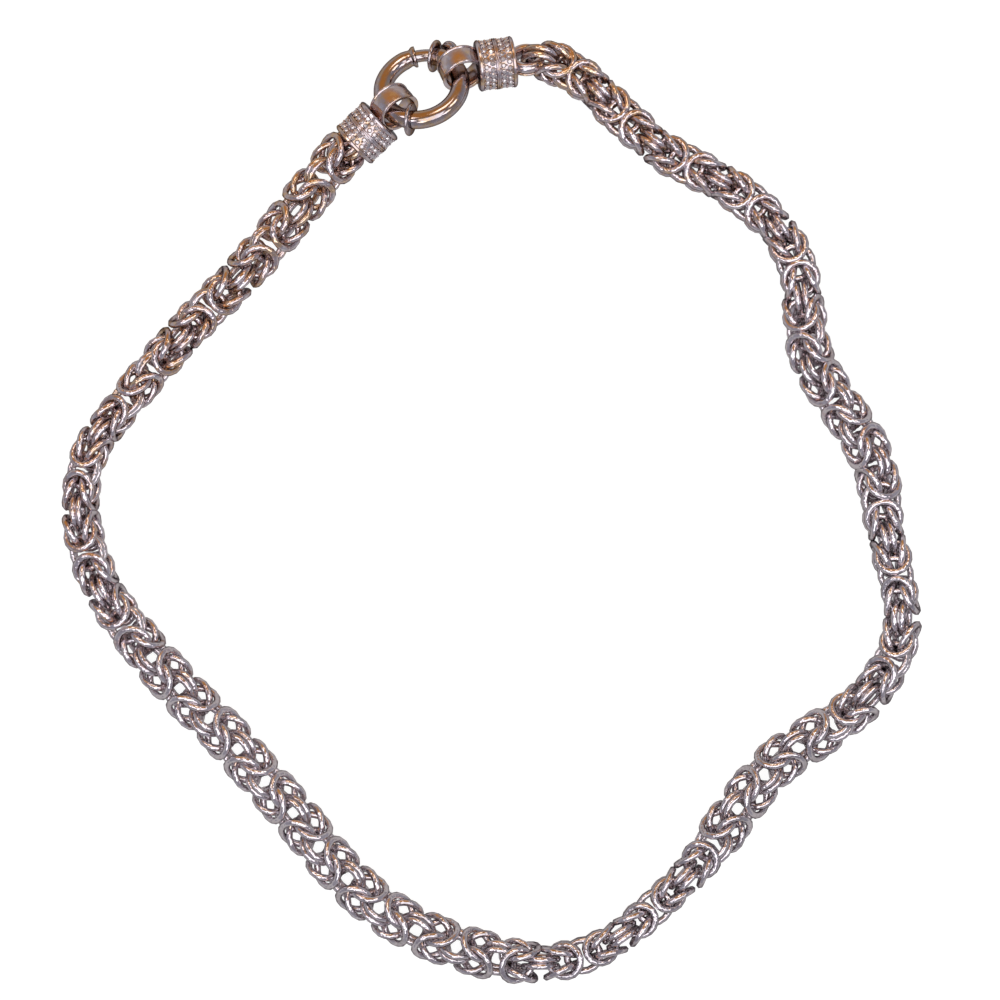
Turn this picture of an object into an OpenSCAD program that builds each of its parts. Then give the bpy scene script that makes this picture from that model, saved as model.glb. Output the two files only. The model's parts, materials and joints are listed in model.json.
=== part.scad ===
// Byzantine chain necklace with a spring ring clasp and two stone set end barrels.
// It lies on its back on a table, +Z up, the clasp at the far side.

/* [Chain] */
// width of the woven chain
chain_w = 7.8; // [4:0.1:10]
// height of the chain's middle above the table
chain_z = 3.8; // [2:0.05:6]
// cross sections along the chain
chain_steps = 74; // [40:2:80]
// sides of the chain's cross section
chain_sides = 12; // [8:1:12]

/* [Clasp ring] */
// radius of the ring's middle line
ring_r = 7.1; // [5:0.1:10]
// thickness of the ring's tube
tube_d = 3.3; // [2.4:0.1:5]
// bore that the bolt slides in
bore_d = 2.5; // [1.5:0.1:4]
// lean of the ring, gate side down
ring_lean = 30; // [0:1:40]
// direction of the line that the ring leans about
ring_turn = 21; // [0:1:60]
// height of the ring's middle above the table
ring_z = 5.62; // [4:0.01:9]
// angle where the tube stops on the bolt's side of the gate
gate_low = 56; // [40:1:70]
// angle where the tube starts again, at the lip
gate_high = 80.5; // [70:0.5:100]
// diameter of the two collars
collar_d = 5.9; // [4:0.1:8]
// thickness of a collar
collar_t = 0.9; // [0.4:0.1:2]
// angle of the far collar
collar_far = 236; // [220:1:260]

/* [Bolt] */
// thickness of the curved bolt
bolt_d = 2.2; // [1.2:0.1:3.6]
// angle that the bolt slides to open the gate
bolt_travel = 27; // [10:1:30]
// angle of the bolt's tip when closed
bolt_tip = 83.5; // [80:0.5:100]
// angle of the thumb knob when closed
knob_at = 39.5; // [30:0.5:50]
// diameter of the thumb knob
knob_d = 3; // [2:0.1:4]
// distance from the ring's middle to the knob's base
knob_r = 8.95; // [8:0.05:11]
// height of the knob's dome
knob_h = 1.8; // [1:0.05:3]
// thickness of the knob's stem
stem_d = 1.1; // [0.6:0.1:2]

/* [End barrels] */
// diameter over the rims
barrel_d = 9.2; // [6:0.1:14]
// length of a barrel
barrel_len = 6.8; // [4:0.1:12]
// length of each plain rim
rim_len = 0.7; // [0.3:0.05:2]
// length of the double ridge between the bands of stones
ridge_len = 0.7; // [0.3:0.05:2]
// radius of the floor that the stones sit above
floor_r = 3.85; // [2:0.05:6]
// lean of the left barrel, chain end down
left_lean = 8.5; // [0:0.5:15]
// lean of the right barrel, chain end down
right_lean = 5; // [0:0.5:15]

/* [Bails and chain loops] */
// hole of a bail
bail_hole = 6.4; // [5:0.1:10]
// wall of a bail
bail_wall = 0.8; // [0.4:0.05:2]
// width of a bail
bail_w = 4; // [2:0.1:7]
// outer diameter of the loop that the chain hangs on
loop_d = 6.2; // [4:0.1:9]
// hole of the loop that the chain hangs on
loop_hole = 4; // [2:0.1:7]
// width of the loop that the chain hangs on
loop_w = 2.6; // [1:0.1:5]

/* [Stones] */
// diameter of a stone
stone_d = 0.94; // [0.5:0.01:2]
// stones in one row around a barrel
stones_round = 24; // [12:1:30]
// radius that the girdles lie on
girdle_r = 4.2; // [3:0.01:6]
// height of the crown above the girdle
crown_h = 0.22; // [0.1:0.01:0.6]
// depth of the cut below the girdle
pavilion_h = 0.24; // [0.1:0.01:0.6]

/* [Hidden] */

silver = [0.78, 0.76, 0.76];
bright = [0.86, 0.85, 0.85];
clear_stone = [0.9, 0.92, 0.95];

ring_at = [-12.4, 75, ring_z];
// middle of each bail, direction of its barrel, roll and skew of its hole,
// and distance from the bail's middle to the barrel's face
right_at = [-5.4, 78.5, 5.4];
right_dir = 8;
right_roll = -33;
right_skew = 10;
right_face = 2.9;
left_at = [-17.3, 71.5, 6];
left_dir = 223;
left_roll = 29;
left_skew = 0;
left_face = 3.3;
loop_step = 2.2;      // barrel's end to the middle of its chain loop
loop_roll = 50;
band_len = (barrel_len-2*rim_len-ridge_len)/2;

// the route of the chain, from the right barrel round to the left one
route = [
    [9.75, 79.9, 4.3], [13, 78.9, 3.9], [18, 75.5], [24, 69.5], [30.5, 64],
    [38, 59.8], [44, 56.3], [50.5, 50.5], [54.5, 43.5], [55.7, 36.5], [56.8, 28],
    [60.5, 20.5], [66, 12.5], [68.8, 5], [69.8, -2.5], [71.5, -10], [73, -18],
    [71.8, -26], [66.5, -34], [58.5, -40], [50.5, -45.5], [44.5, -52.5],
    [38.5, -61], [32, -68], [24, -75.1], [15, -79.8], [5, -80.45], [-5, -78.1],
    [-14, -74.4], [-22, -69], [-28.5, -62.5], [-34.5, -55], [-41, -47.5],
    [-48, -39.5], [-55, -32.5], [-61.5, -25], [-67.5, -17], [-71.4, -8.5],
    [-73, 0.5], [-71.5, 9.5], [-66.5, 17], [-60, 25], [-53, 33], [-45.5, 40.5],
    [-38.5, 48.5], [-33, 55.5], [-28.75, 60.75, 4]
];

// smooth curve through the route, t from 0 to 1
function at(i) = let (p = route[max(0, min(len(route)-1, i))])
    [p[0], p[1], len(p) > 2 ? p[2] : chain_z];
function spline(t) = let (
    s = t*(len(route)-1), i = min(floor(s), len(route)-2), f = s-i,
    a = at(i-1), b = at(i), c = at(i+1), d = at(i+2))
    0.5*(2*b+(c-a)*f+(2*a-5*b+4*c-d)*f*f+(3*b-a-3*c+d)*f*f*f);
function unit(v) = v/norm(v);
function section(t) = let (
    p = spline(t), q = unit(spline(min(1, t+0.002))-spline(max(0, t-0.002))),
    side = unit(cross([0, 0, 1], q)), up = cross(q, side),
    r = chain_w/2*((t == 0 || t == 1) ? 0.72 : 1))
    [for (k = [0:chain_sides-1]) let (a = 360*(k+0.5)/chain_sides)
        p+r*cos(a)*side+r*sin(a)*up];

// a tube through a list of cross sections
module tube(rows) {
    n = len(rows[0]);
    m = len(rows);
    polyhedron(
        points = [for (r = rows) each r],
        faces = concat(
            [[for (k = [n-1:-1:0]) n-1-k]],
            [for (i = [0:m-2], k = [0:n-1])
                [i*n+k, (i+1)*n+k, (i+1)*n+(k+1)%n, i*n+(k+1)%n]],
            [[for (k = [0:n-1]) m*n-1-k]]));
}

module chain() {
    color(silver)
    tube([for (i = [0:chain_steps]) section(i/chain_steps)]);
}

// puts a piece in the leaning ring's own plane, angle 0 along its lean line
module ring_place() {
    translate(ring_at) rotate([0, 0, ring_turn]) rotate([-ring_lean, 0, 0])
    children();
}

module sector(r, a0, a1, d) {
    rotate([0, 0, a0])
    rotate_extrude(angle = a1-a0, $fn = 96) translate([r, 0]) circle(d = d, $fn = 40);
}

// a flange with a rounded edge, at an angle of the ring
module collar(a, d, t) {
    rotate([0, 0, a]) translate([ring_r, 0, 0]) rotate([90, 0, 0])
    rotate_extrude($fn = 48)
    polygon([[0, -t/2], [d/2-t*0.8, -t/2], [d/2-t*0.15, -t*0.2], [d/2, 0],
             [d/2-t*0.15, t*0.2], [d/2-t*0.8, t/2], [0, t/2]]);
}

module clasp_ring() {
    half = collar_t/2/ring_r*180/PI;
    slot_from = knob_at-bolt_travel;
    slot_more = (stem_d/2+0.15)/ring_r*180/PI;
    color(bright) ring_place()
    difference() {
        union() {
            sector(ring_r, gate_high, 360+gate_low-half, tube_d);
            collar(gate_low-half, collar_d, collar_t);
            collar(collar_far, collar_d, collar_t);
            // lip at the tube's open end
            rotate([0, 0, gate_high]) translate([ring_r, 0, 0]) rotate([90, 0, 0])
            translate([0, 0, -0.6]) cylinder(d = tube_d+0.5, h = 0.6, $fn = 48);
        }
        // bore for the bolt, on both sides of the gate
        sector(ring_r, slot_from-14, gate_low+6, bore_d);
        sector(ring_r, gate_high-6, bolt_tip+2.5, bore_d);
        // slot that the knob's stem slides along
        rotate([0, 0, slot_from-slot_more])
        rotate_extrude(angle = bolt_travel+2*slot_more, $fn = 96)
        translate([ring_r+0.8, -stem_d/2-0.15]) square([1.7, stem_d+0.3]);
    }
}

// a domed button, base at z = 0
module knob() {
    r = knob_d/2;
    rotate_extrude($fn = 48)
    polygon(concat([[0, 0], [r-0.35, 0], [r-0.08, 0.18]],
        [for (a = [0:10:80]) [r*cos(a), 0.5+(knob_h-0.5)*sin(a)]], [[0, knob_h]]));
}

module clasp_bolt() {
    color(bright) ring_place()
    union() {
        sector(ring_r, knob_at-6, bolt_tip, bolt_d);
        rotate([0, 0, knob_at]) translate([ring_r, 0, 0]) rotate([0, 90, 0])
        cylinder(d = stem_d, h = knob_r+0.2-ring_r, $fn = 32);
        rotate([0, 0, knob_at]) translate([knob_r, 0, 0]) rotate([0, 90, 0]) knob();
    }
}

// a wide round loop with a domed band and a thin bead on both edges
module band_loop(hole, d, w) {
    e = 0.35;
    rotate([90, 0, 0])
    rotate_extrude($fn = 60)
    polygon([[hole/2, -w/2+0.1], [hole/2+0.1, -w/2], [d/2-e, -w/2], [d/2-e+0.08, -w/2+e],
             [d/2-0.12, -w/2+e+0.3], [d/2, -w/6], [d/2, w/6], [d/2-0.12, w/2-e-0.3],
             [d/2-e+0.08, w/2-e], [d/2-e, w/2], [hole/2+0.1, w/2], [hole/2, w/2-0.1]]);
}

// the barrel's outline in its own frame, +X from the bail to the chain
module barrel_body(face) {
    r = barrel_d/2;
    x1 = face+rim_len;
    x2 = x1+band_len;
    x3 = x2+ridge_len;
    x4 = x3+band_len;
    x5 = face+barrel_len;
    rotate([90, 0, 90])
    rotate_extrude($fn = 72)
    polygon([[0, face], [r-0.5, face], [r-0.08, face+0.2], [r, face+rim_len/2], [r-0.1, x1],
             [floor_r, x1], [floor_r, x2], [r-0.16, x2], [r, x2+ridge_len*0.25],
             [r-0.14, (x2+x3)/2], [r, x3-ridge_len*0.25], [r-0.16, x3],
             [floor_r, x3], [floor_r, x4], [r-0.1, x4], [r, x5-rim_len/2],
             [r-0.08, x5-0.2], [r-0.5, x5], [0, x5]]);
}

module end_place(at, lean, dir) {
    translate(at) rotate([0, lean, dir]) children();
}

module end_barrel(face, roll, skew) {
    difference() {
        union() {
            barrel_body(face);
            rotate([roll, 0, 0]) rotate([0, 0, skew])
            band_loop(bail_hole, bail_hole+2*bail_wall, bail_w);
            translate([face+barrel_len+loop_step, 0, 0]) rotate([loop_roll, 0, 0])
            band_loop(loop_hole, loop_d, loop_w);
        }
        // the chain loop's hole stays open where it meets the barrel
        translate([face+barrel_len+loop_step, 0, 0]) rotate([loop_roll, 0, 0])
        rotate([90, 0, 0]) cylinder(d = loop_hole-0.4, h = loop_w+1, center = true, $fn = 60);
    }
}

// one cut stone, table up, girdle at z = 0
module stone() {
    n = 8;
    rows = [[stone_d*0.22, -pavilion_h], [stone_d/2, 0], [stone_d*0.29, crown_h]];
    polyhedron(
        points = [for (i = [0:2], k = [0:n-1]) let (a = 360*(k+0.5*(i%2))/n)
            [rows[i][0]*cos(a), rows[i][0]*sin(a), rows[i][1]]],
        faces = concat(
            [[for (k = [0:n-1]) k]],
            [for (i = [0:1], k = [0:n-1]) let (s = i%2, u = (k+1)%n,
                a = i*n+k, b = i*n+u, c = (i+1)*n+k, d = (i+1)*n+u)
                s == 0 ? [a, c, b] : [a, d, b]],
            [for (i = [0:1], k = [0:n-1]) let (s = i%2, u = (k+1)%n,
                a = i*n+k, b = i*n+u, c = (i+1)*n+k, d = (i+1)*n+u)
                s == 0 ? [b, c, d] : [a, c, d]],
            [[for (k = [n-1:-1:0]) 2*n+k]]));
}

// four rows of stones around a barrel, two in each band
module stone_rows(face) {
    row = band_len/2;
    for (band = [0, 1], line = [0, 1], k = [0:stones_round-1]) {
        x = face+rim_len+band*(band_len+ridge_len)+(line+0.5)*row;
        turn = 360/stones_round*(k+0.5*line);
        rotate([turn, 0, 0]) translate([x, 0, girdle_r]) stone();
    }
}

module left_barrel() {
    color(bright) end_place(left_at, left_lean, left_dir) end_barrel(left_face, left_roll, left_skew);
}

module right_barrel() {
    color(bright) end_place(right_at, right_lean, right_dir) end_barrel(right_face, right_roll, right_skew);
}

module left_stones() {
    color(clear_stone) end_place(left_at, left_lean, left_dir) stone_rows(left_face);
}

module right_stones() {
    color(clear_stone) end_place(right_at, right_lean, right_dir) stone_rows(right_face);
}

chain();
left_barrel();
right_barrel();
left_stones();
right_stones();
clasp_ring();
clasp_bolt();
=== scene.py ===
import json
import math

import bmesh
import bpy
from bpy.props import (
    FloatProperty, FloatVectorProperty, IntProperty, PointerProperty)
from mathutils import Euler, Matrix, Vector

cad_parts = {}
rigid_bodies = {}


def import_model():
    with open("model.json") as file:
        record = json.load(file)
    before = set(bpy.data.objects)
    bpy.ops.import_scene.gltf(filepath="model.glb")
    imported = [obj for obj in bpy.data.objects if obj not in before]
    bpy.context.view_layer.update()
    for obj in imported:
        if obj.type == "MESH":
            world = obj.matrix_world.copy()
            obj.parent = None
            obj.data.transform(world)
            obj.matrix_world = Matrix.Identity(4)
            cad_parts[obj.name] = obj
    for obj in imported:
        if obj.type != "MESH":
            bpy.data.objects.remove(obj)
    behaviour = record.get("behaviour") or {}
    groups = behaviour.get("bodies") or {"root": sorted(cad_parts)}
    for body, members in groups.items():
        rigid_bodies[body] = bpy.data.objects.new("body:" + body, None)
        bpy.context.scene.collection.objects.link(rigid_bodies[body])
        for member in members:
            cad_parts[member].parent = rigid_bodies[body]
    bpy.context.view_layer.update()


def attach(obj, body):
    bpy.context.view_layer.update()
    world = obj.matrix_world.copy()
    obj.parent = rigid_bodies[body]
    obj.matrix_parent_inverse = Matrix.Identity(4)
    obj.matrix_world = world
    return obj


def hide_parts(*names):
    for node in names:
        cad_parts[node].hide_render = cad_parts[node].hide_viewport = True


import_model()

# A necklace of woven silver links with a spring ring clasp and two end
# barrels set with stones, dressed around its solid model. The model's frame
# is in metres. The tables and sizes of the solid model are in millimetres,
# so MM turns them into metres.

bl_info = {
    "name": "Byzantine chain necklace",
    "version": (1, 0, 0),
    "blender": (4, 5, 0),
    "location": "View3D > Sidebar > Necklace",
    "description": "Builds the woven links, the clasp and the stone set end barrels",
    "category": "Add Mesh",
}

MM = 0.001

# The chain's route, the same points as in the solid model. The third value
# is the height, where it isn't the chain's own.
ROUTE = [
    (9.75, 79.9, 4.3), (13, 78.9, 3.9), (18, 75.5), (24, 69.5), (30.5, 64),
    (38, 59.8), (44, 56.3), (50.5, 50.5), (54.5, 43.5), (55.7, 36.5), (56.8, 28),
    (60.5, 20.5), (66, 12.5), (68.8, 5), (69.8, -2.5), (71.5, -10), (73, -18),
    (71.8, -26), (66.5, -34), (58.5, -40), (50.5, -45.5), (44.5, -52.5),
    (38.5, -61), (32, -68), (24, -75.1), (15, -79.8), (5, -80.45), (-5, -78.1),
    (-14, -74.4), (-22, -69), (-28.5, -62.5), (-34.5, -55), (-41, -47.5),
    (-48, -39.5), (-55, -32.5), (-61.5, -25), (-67.5, -17), (-71.4, -8.5),
    (-73, 0.5), (-71.5, 9.5), (-66.5, 17), (-60, 25), (-53, 33), (-45.5, 40.5),
    (-38.5, 48.5), (-33, 55.5), (-28.75, 60.75, 4),
]

# How the weave sits along the chain: a knot's number and its place in
# millimetres along the route.
KNOT_PLACES = [(0, -1.0), (1, 4.7), (3, 17.5), (5, 31.6), (7, 44.8), (9, 58.6),
               (11, 71.2), (16, 104.5), (18, 118.0), (24, 164.5), (36, 256.3),
               (41, 293.9), (53, 382.3), (58, 421.2)]
# How far the weave is rolled about its own length, in degrees, and how far
# its loops stand out, from 0 to 1, by a knot's number.
KNOT_ROLLS = [
    (0, -22, 0.2), (1.5, 0, 0), (9.6, 0, 0), (11, 35, 0.6), (15, 55, 0.6),
    (16.2, 90, 0), (17.6, 90, 0), (18.8, 112, 0.3), (21.2, 112, 0.4),
    (22.6, 135, 0.9), (25.8, 135, 0.8), (26.6, 90, 0),
    (31, 90, 0), (32.2, 45, 1), (42.6, 45, 1), (44.4, 76, 0.2), (49.5, 72, 0.2),
    (52, 20, 0.4), (53.5, 20, 0.4), (56, 40, 0.8), (58, 42, 0.8),
]
# How wide a link is for its length, by a knot's number: the weave is pulled
# narrow in three places, where its links are a little oval.
KNOT_WIDTHS = [
    (0, 1), (17, 1), (18.5, 0.87), (20.5, 0.93), (22, 1), (26.5, 1), (27.6, 0.87),
    (29.6, 0.9), (31, 1), (45, 1), (46.5, 0.93), (48, 0.85), (50.2, 0.85), (52, 0.97),
    (54, 1), (58, 1),
]
# How far a knot's links reach into it, as a share of the knot, by its length
# in millimetres.
KNOT_REACHES = [(6.6, 0.525), (7.9, 0.556)]
FLARE_LIFT = 0.45  # how far the middle of the flared weave lies higher, in mm
STEPS = 8          # points of the path for each knot
SPARE = 4          # points past each end of the weave
FINE_STEPS = 2400  # points in which the route's length is measured
# How much a link may differ from its neighbours: its turn and lean in
# radians, its place in millimetres, each either way.
SLACK = dict(turn=0.05, lean=0.04, place=0.05)


def length_setting(name, description, size):
    """A length setting, its size in millimetres"""
    return FloatProperty(name=name, description=description, default=size*MM,
                         unit="LENGTH", precision=5)


def count_setting(name, description, number, least=0):
    """A whole number, with the least that it may be"""
    return IntProperty(name=name, description=description, default=number, min=least)


def colour_setting(name, description, red, green, blue):
    """A colour of linear light"""
    return FloatVectorProperty(name=name, description=description, size=3, subtype="COLOR",
                               default=(red, green, blue), min=0, max=1)


class ChainSizes(bpy.types.PropertyGroup):
    """Sizes of the woven chain"""
    height: length_setting("Height", "Height of the chain's middle above the table", 4.0)
    wire: length_setting("Wire", "Thickness of a link's wire", 1.25)
    link: length_setting("Link", "Radius of a link, to the middle of its wire", 2.97)
    knots: count_setting("Knots", "Knots in the chain", 58, 8)
    around: count_setting("Link sides", "Sides of a link around its ring", 16, 8)
    sides: count_setting("Wire sides", "Sides of a link's wire", 6, 5)
    seed: count_setting("Seed", "Seed of the links' slack", 7)


class ClaspSizes(bpy.types.PropertyGroup):
    """Sizes of the spring ring clasp"""
    ring: length_setting("Ring", "Radius of the ring's middle line", 7.1)
    tube: length_setting("Tube", "Thickness of the ring's tube", 3.3)
    bore: length_setting("Bore", "Bore that the bolt slides in", 2.5)
    bolt: length_setting("Bolt", "Thickness of the curved bolt", 2.2)
    collar: length_setting("Collar", "Diameter of the two collars", 5.9)
    flange: length_setting("Flange", "Thickness of the two collars", 0.9)
    knob: length_setting("Knob", "Diameter of the thumb knob", 3.0)
    slot: length_setting("Slot", "Half the width of the knob's slot", 0.7)


class BarrelSizes(bpy.types.PropertyGroup):
    """Sizes of the end barrels and their stones"""
    radius: length_setting("Radius", "Radius over a barrel's rims", 4.6)
    long: length_setting("Length", "Length of a barrel", 6.8)
    rim: length_setting("Rim", "Length of each plain rim, and of the double ridge", 0.7)
    floor: length_setting("Floor", "Radius of the floor under the stones", 4.15)
    stone: length_setting("Stone", "Diameter of a stone", 0.98)
    seat: length_setting("Seat", "Radius at which the stones' girdles sit", 4.2)
    bead: length_setting("Bead", "Diameter of a bead between the stones", 0.44)
    bead_seat: length_setting("Bead seat", "Radius at which the beads' middles sit", 4.36)
    around: count_setting("Stones around", "Stones in one row around a barrel", 24, 8)


class Finishes(bpy.types.PropertyGroup):
    """Colours of the metal and the stones"""
    silver: colour_setting("Silver", "Colour of the clean metal", 0.80, 0.74, 0.77)
    rose: colour_setting("Rose grey", "Colour of the metal's first dulling", 0.71, 0.59, 0.60)
    # Amber is a painted warm reflection, laid into the metal's colour as warm dulling.
    amber: colour_setting("Amber", "Colour of the metal's warm dulling", 0.80, 0.58, 0.38)
    stone: colour_setting("Stone", "Colour of the darker stones", 0.61, 0.56, 0.565)
    bright: colour_setting("Bright stone", "Colour of the brighter stones", 0.79, 0.735, 0.745)
    table: colour_setting("Table", "Colour of the table", 0.2, 0.2, 0.2)


class StageSizes(bpy.types.PropertyGroup):
    """Camera and light"""
    distance: length_setting("Distance", "From the camera to the necklace", 750)
    elevation: FloatProperty(
        name="Elevation", description="The camera's height angle above the table",
        default=math.radians(87), subtype="ANGLE", unit="ROTATION")
    width: length_setting("Width", "Width of the picture at the necklace", 178)
    aim: FloatVectorProperty(
        name="Aim", description="The point that the camera looks at",
        default=(1.6*MM, 1.34*MM, 4*MM), size=3, unit="LENGTH", precision=5)


SETTINGS = {"necklace_chain": ChainSizes, "necklace_clasp": ClaspSizes,
            "necklace_barrel": BarrelSizes, "necklace_finish": Finishes,
            "necklace_stage": StageSizes}


# Places of the hard pieces, as in the solid model, in millimetres and degrees
RING_AT = Vector((-12.4, 75, 5.62))*MM
RING_TURN = 21
RING_LEAN = 30
GATE_LOW = 56          # the tube's end beside the bolt's collar
GATE_HIGH = 80.5       # the tube's end at the lip
COLLAR_FAR = 236       # the other collar
BOLT_TIP = 83.5
KNOB_AT = 39.5
SLOT_FROM = 12.5       # the slot's end with the gate open
BARRELS = {
    "left": dict(at=(-17.3, 71.5, 6), lean=8.5, turn=223, roll=29, skew=0, face=3.3),
    "right": dict(at=(-5.4, 78.5, 5.4), lean=5, turn=8, roll=-33, skew=10, face=2.9),
}
LOOP_STEP = 2.2        # barrel's end to the middle of its chain loop
LOOP_ROLL = 50
BAIL = dict(hole=6.4*MM, wall=0.8*MM, wide=4*MM, dome=0.12*MM)
CHAIN_LOOP = dict(hole=4*MM, wall=1.1*MM, wide=2.6*MM, dome=0.35*MM)


# Meshes

def piece(name, mesh, material, body, *nodes, slot=None):
    """Links a finished mesh into the scene, on its body and in its node's place"""
    thing = bpy.data.objects.new(name, mesh)
    bpy.context.scene.collection.objects.link(thing)
    mesh.materials.clear()
    mesh.materials.append(material)
    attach(thing, body)
    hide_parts(*nodes)
    return thing


def mesh_from(name, points, faces, sharp=35):
    """A clean closed mesh from points and faces, smooth but for its sharp edges"""
    mesh = bpy.data.meshes.new(name)
    mesh.from_pydata([tuple(p) for p in points], [], faces)
    work = bmesh.new()
    work.from_mesh(mesh)
    bmesh.ops.remove_doubles(work, verts=work.verts, dist=0.002*MM)
    bmesh.ops.recalc_face_normals(work, faces=work.faces)
    work.to_mesh(mesh)
    work.free()
    smooth(mesh, sharp)
    return mesh


def smooth(mesh, sharp=35):
    """Shades a mesh smooth, but for edges sharper than so many degrees"""
    mesh.polygons.foreach_set("use_smooth", [True]*len(mesh.polygons))
    mesh.set_sharp_from_angle(angle=math.radians(sharp))


def lathe(outline, steps, cyclic=False):
    """Points and faces of an outline of (radius, height) turned about Z. An
    open outline starts and ends on the axis, a cyclic one never meets it."""
    points = []
    for k in range(steps):
        turn = 2*math.pi*k/steps
        points += [Vector((r*math.cos(turn), r*math.sin(turn), h)) for r, h in outline]
    n = len(outline)
    faces = []
    for k in range(steps):
        a, b = k*n, (k+1) % steps*n
        for i in range(n if cyclic else n-1):
            j = (i+1) % n
            corners = [a+i, a+j, b+j, b+i]
            if outline[i][0] == 0:
                corners.remove(b+i)
            if outline[j][0] == 0:
                corners.remove(b+j)
            faces.append(corners)
    return points, faces


def arc(middle, radius, start, stop, steps):
    """Points of an arc in an outline, angles in degrees"""
    return [(middle[0]+radius*math.cos(math.radians(start+(stop-start)*i/steps)),
             middle[1]+radius*math.sin(math.radians(start+(stop-start)*i/steps)))
            for i in range(steps+1)]


def turned(mesh, matrix):
    """Moves a mesh to its place, in its points"""
    mesh.transform(matrix)
    mesh.update()
    return mesh


def joined(name, *meshes):
    """One mesh from several, which are then removed"""
    work = bmesh.new()
    for mesh in meshes:
        work.from_mesh(mesh)
    made = bpy.data.meshes.new(name)
    work.to_mesh(made)
    work.free()
    for mesh in meshes:
        bpy.data.meshes.remove(mesh)
    return made


# Node trees

class Tree:
    """A Geometry Nodes tree under construction"""

    def __init__(self, name, sizes):
        self.group = bpy.data.node_groups.new(name, "GeometryNodeTree")
        face = self.group.interface
        face.new_socket("Geometry", in_out="INPUT", socket_type="NodeSocketGeometry")
        face.new_socket("Geometry", in_out="OUTPUT", socket_type="NodeSocketGeometry")
        self.ids = {}
        for label, value in sizes.items():
            kind = "NodeSocketInt" if isinstance(value, int) else "NodeSocketFloat"
            socket = face.new_socket(label, in_out="INPUT", socket_type=kind)
            self.ids[label] = socket.identifier
        self.sizes = sizes
        self.entry = self.group.nodes.new("NodeGroupInput").outputs

    def size(self, label):
        """The tree's own input with that label"""
        return self.entry[label]

    def add(self, kind, inputs=(), **settings):
        """Adds a node. inputs are (socket name or number, value or output)."""
        node = self.group.nodes.new(kind)
        for key, value in settings.items():
            setattr(node, key, value)
        for key, value in inputs:
            self.plug(node.inputs[key], value)
        return node.outputs[0]

    def plug(self, socket, value):
        if isinstance(value, bpy.types.NodeSocket):
            self.group.links.new(value, socket)
        else:
            socket.default_value = value

    def math(self, operation, *values):
        return self.add("ShaderNodeMath", enumerate(values), operation=operation)

    def vector(self, operation, *values):
        return self.add("ShaderNodeVectorMath", enumerate(values), operation=operation)

    def scaled(self, vector, factor):
        return self.add("ShaderNodeVectorMath", [(0, vector), ("Scale", factor)],
                        operation="SCALE")

    def xyz(self, x, y, z):
        return self.add("ShaderNodeCombineXYZ", [(0, x), (1, y), (2, z)])

    def sample(self, geometry, field, index, data_type):
        """A field's value at one point of a geometry"""
        return self.add("GeometryNodeSampleIndex",
                        [("Geometry", geometry), ("Value", field), ("Index", index)],
                        data_type=data_type, domain="POINT", clamp=True)

    def spread(self, low, high, seed, data_type="FLOAT"):
        """A random value for each point"""
        node = self.group.nodes.new("FunctionNodeRandomValue")
        node.data_type = data_type
        live = [s for s in node.inputs if s.enabled]
        live[0].default_value = low
        live[1].default_value = high
        self.plug(node.inputs["Seed"], seed)
        return [s for s in node.outputs if s.enabled][0]

    def finish(self, geometry, material):
        """Ends the tree in Realize Instances and Set Material"""
        real = self.add("GeometryNodeRealizeInstances", [("Geometry", geometry)])
        shaded = self.add("GeometryNodeSetMaterial",
                          [("Geometry", real), ("Material", material)])
        out = self.group.nodes.new("NodeGroupOutput")
        self.group.links.new(shaded, out.inputs[0])

    def run(self, name, mesh):
        """The plain mesh that the tree makes of another mesh"""
        carrier = bpy.data.objects.new(name, mesh)
        bpy.context.scene.collection.objects.link(carrier)
        modifier = carrier.modifiers.new(name, "NODES")
        modifier.node_group = self.group
        for label, value in self.sizes.items():
            modifier[self.ids[label]] = value
        carrier.update_tag()
        graph = bpy.context.evaluated_depsgraph_get()
        made = bpy.data.meshes.new_from_object(carrier.evaluated_get(graph))
        carrier.modifiers.clear()
        bpy.data.objects.remove(carrier)
        if not made.polygons:
            raise RuntimeError(f"the tree {self.group.name} made nothing")
        made.name = name
        work = bmesh.new()
        work.from_mesh(made)
        bmesh.ops.recalc_face_normals(work, faces=work.faces)
        work.to_mesh(made)
        work.free()
        return made


# The chain's path

def route_point(i):
    """A point of the route, the end ones again past its ends"""
    i = max(0, min(len(ROUTE)-1, i))
    x, y = ROUTE[i][:2]
    z = ROUTE[i][2] if len(ROUTE[i]) > 2 else bpy.context.scene.necklace_chain.height/MM
    return Vector((x, y, z))*MM


def spline(t):
    """A point of the smooth curve through the route, t from 0 to 1"""
    s = t*(len(ROUTE)-1)
    i = min(int(s), len(ROUTE)-2)
    f = s-i
    a, b, c, d = (route_point(i+k) for k in (-1, 0, 1, 2))
    return 0.5*(2*b+(c-a)*f+(2*a-5*b+4*c-d)*f*f+(3*b-a-3*c+d)*f*f*f)


def between(rows, x, column=1):
    """Reads a table with its rows sorted by their first column, and goes on
    straight past its ends"""
    if x <= rows[0][0]:
        low, high = rows[0], rows[1]
    else:
        low, high = next(((a, b) for a, b in zip(rows, rows[1:]) if x <= b[0]), rows[-2:])
    return low[column]+(high[column]-low[column])*(x-low[0])/(high[0]-low[0])


def eased(rows, x, column):
    """The same, with soft turns at the rows and flat ends"""
    x = max(rows[0][0], min(rows[-1][0], x))
    low, high = next((a, b) for a, b in zip(rows, rows[1:]) if x <= b[0])
    f = (x-low[0])/(high[0]-low[0])
    return low[column]+(high[column]-low[column])*f*f*(3-2*f)


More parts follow.
